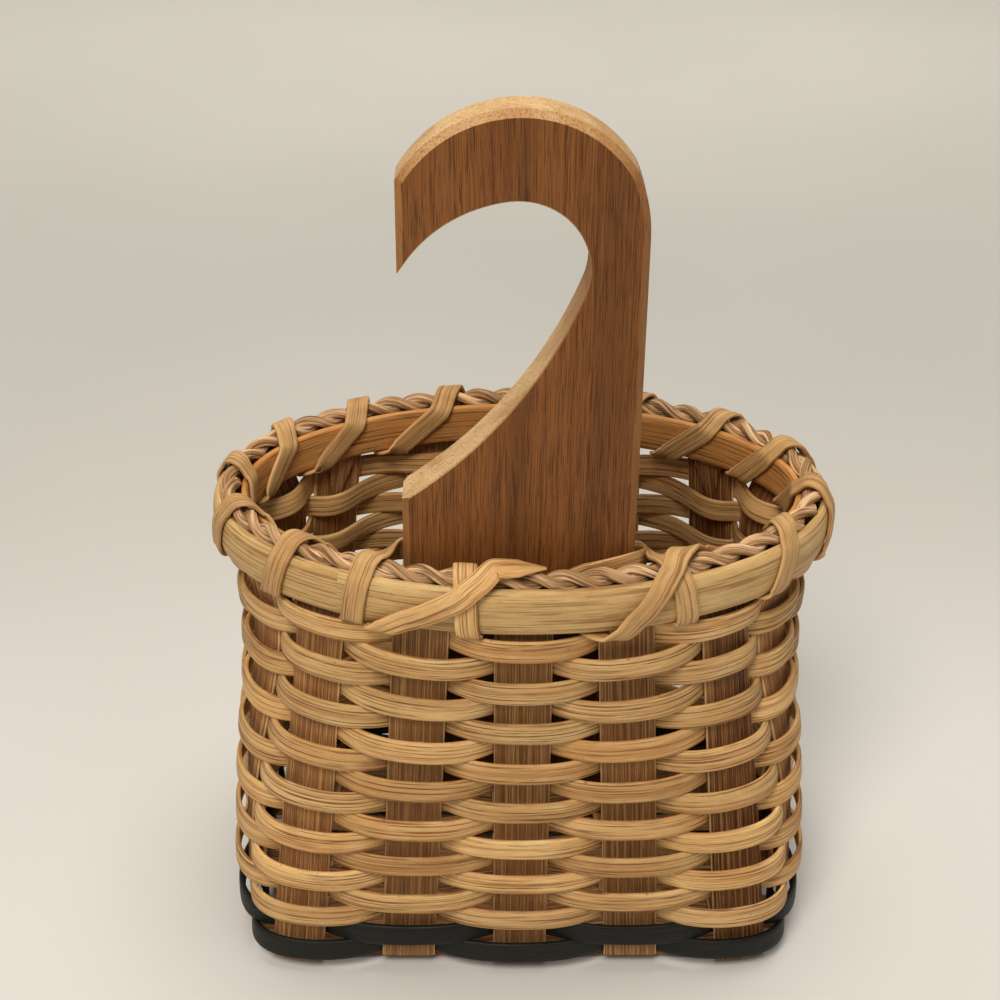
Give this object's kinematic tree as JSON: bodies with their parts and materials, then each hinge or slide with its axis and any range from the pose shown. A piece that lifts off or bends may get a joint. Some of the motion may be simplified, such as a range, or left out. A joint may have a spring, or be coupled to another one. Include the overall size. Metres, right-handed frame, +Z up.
{
  "type": "hanging door basket",
  "caption": "Small hanging basket of woven flat reed with a lashed rim and a flat oak hook that hangs it from a door knob.",
  "frame": {"origin": "centre of the bounding box in plan, on the surface the base stands on", "axes": "+X to the right along the door as seen from the hook's side, +Y away from the door into the room, +Z up"},
  "size_m": [0.1824, 0.1239, 0.2689],
  "materials": {
    "stake_reed": "matte flat reed",
    "weaver_reed": "matte flat oval reed",
    "dyed_reed": "matte, dyed dark green",
    "rim_reed": "satin half round reed",
    "lashing_reed": "satin flat oval reed",
    "seagrass": "coarse twisted grass",
    "oak": "satin oiled oak"
  },
  "bodies": {
    "root": {"cross_stake_1": "stake_reed", "cross_stake_2": "stake_reed", "cross_stake_3": "stake_reed", "cross_stake_4": "stake_reed", "cross_stake_5": "stake_reed", "long_stake_1": "stake_reed", "long_stake_2": "stake_reed", "long_stake_3": "stake_reed", "base_filler_1": "stake_reed", "base_filler_2": "stake_reed", "base_filler_3": "stake_reed", "base_filler_4": "stake_reed", "dyed_weaver_1": "dyed_reed", "dyed_weaver_2": "dyed_reed", "weaver_03": "weaver_reed", "weaver_04": "weaver_reed", "weaver_05": "weaver_reed", "weaver_06": "weaver_reed", "weaver_07": "weaver_reed", "weaver_08": "weaver_reed", "weaver_09": "weaver_reed", "weaver_10": "weaver_reed", "weaver_11": "weaver_reed", "weaver_12": "weaver_reed", "weaver_13": "weaver_reed", "weaver_14": "weaver_reed", "weaver_15": "weaver_reed", "weaver_16": "weaver_reed", "weaver_17": "weaver_reed", "rim_row": "weaver_reed", "outer_rim_band": "rim_reed", "inner_rim_band": "rim_reed", "seagrass_filler": "seagrass", "rim_lashing": "lashing_reed", "hook_lashing": "lashing_reed", "oak_hook": "oak"}
  },
  "joints": []
}
